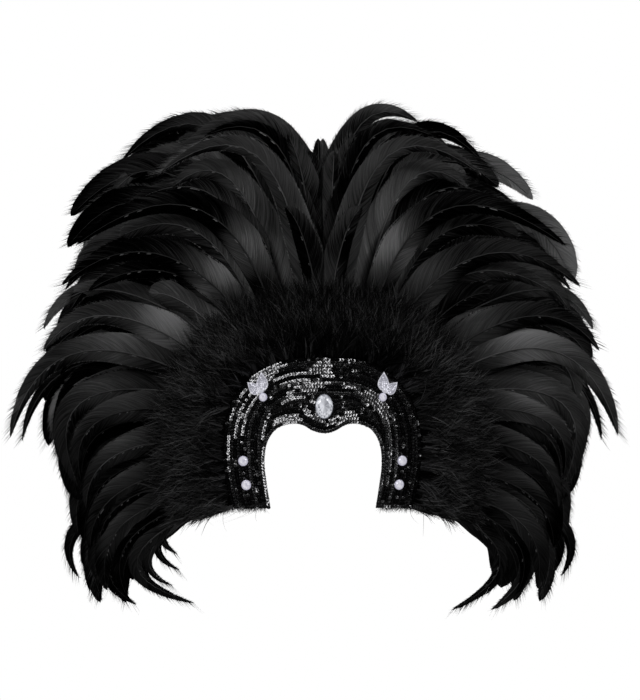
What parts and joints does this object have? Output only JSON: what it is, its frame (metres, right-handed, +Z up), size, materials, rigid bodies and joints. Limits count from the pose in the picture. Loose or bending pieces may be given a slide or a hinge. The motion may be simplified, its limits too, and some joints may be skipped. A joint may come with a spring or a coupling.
{
  "type": "carnival feather headdress",
  "caption": "Black showgirl headdress: sequinned horseshoe band with a widow's peak and stones, a fluff collar and layered rows of long curved feathers on a dished board.",
  "frame": {"origin": "underside of the cap's crown, where it rests on the top of the head", "axes": "+X to the viewer's right, along the width of the feather fan; -Y the way the wearer looks; +Z up; the head goes in along +Z from below"},
  "size_m": [0.7756, 0.2283, 0.6579],
  "materials": {
    "black_sequins": "glossy cupped sequins sewn on in strands",
    "black_felt": "matt felt",
    "black_fluff": "soft dyed down",
    "black_feather": "dyed feather with a satin sheen",
    "clear_stone": "clear cut stone, foiled behind",
    "pale_stone": "pale cut stone with a pearl sheen",
    "silver_pave": "silver plate set with small clear stones"
  },
  "bodies": {
    "root": {"sequin_band": "black_sequins", "backing_board": "black_felt", "head_cap": "black_felt", "fluff_collar": "black_fluff", "rear_feathers_left": "black_feather", "rear_feathers_right": "black_feather", "back_feathers_left": "black_feather", "back_feathers_right": "black_feather", "middle_feathers_left": "black_feather", "middle_feathers_right": "black_feather", "front_feathers_left": "black_feather", "front_feathers_right": "black_feather", "centre_stone": "clear_stone", "side_stone_left_upper": "pale_stone", "side_stone_left_lower": "pale_stone", "side_stone_right_upper": "pale_stone", "side_stone_right_lower": "pale_stone", "leaf_stone_left": "pale_stone", "leaf_stone_right": "pale_stone", "leaf_jewel_left": "silver_pave", "leaf_jewel_right": "silver_pave"}
  },
  "joints": []
}
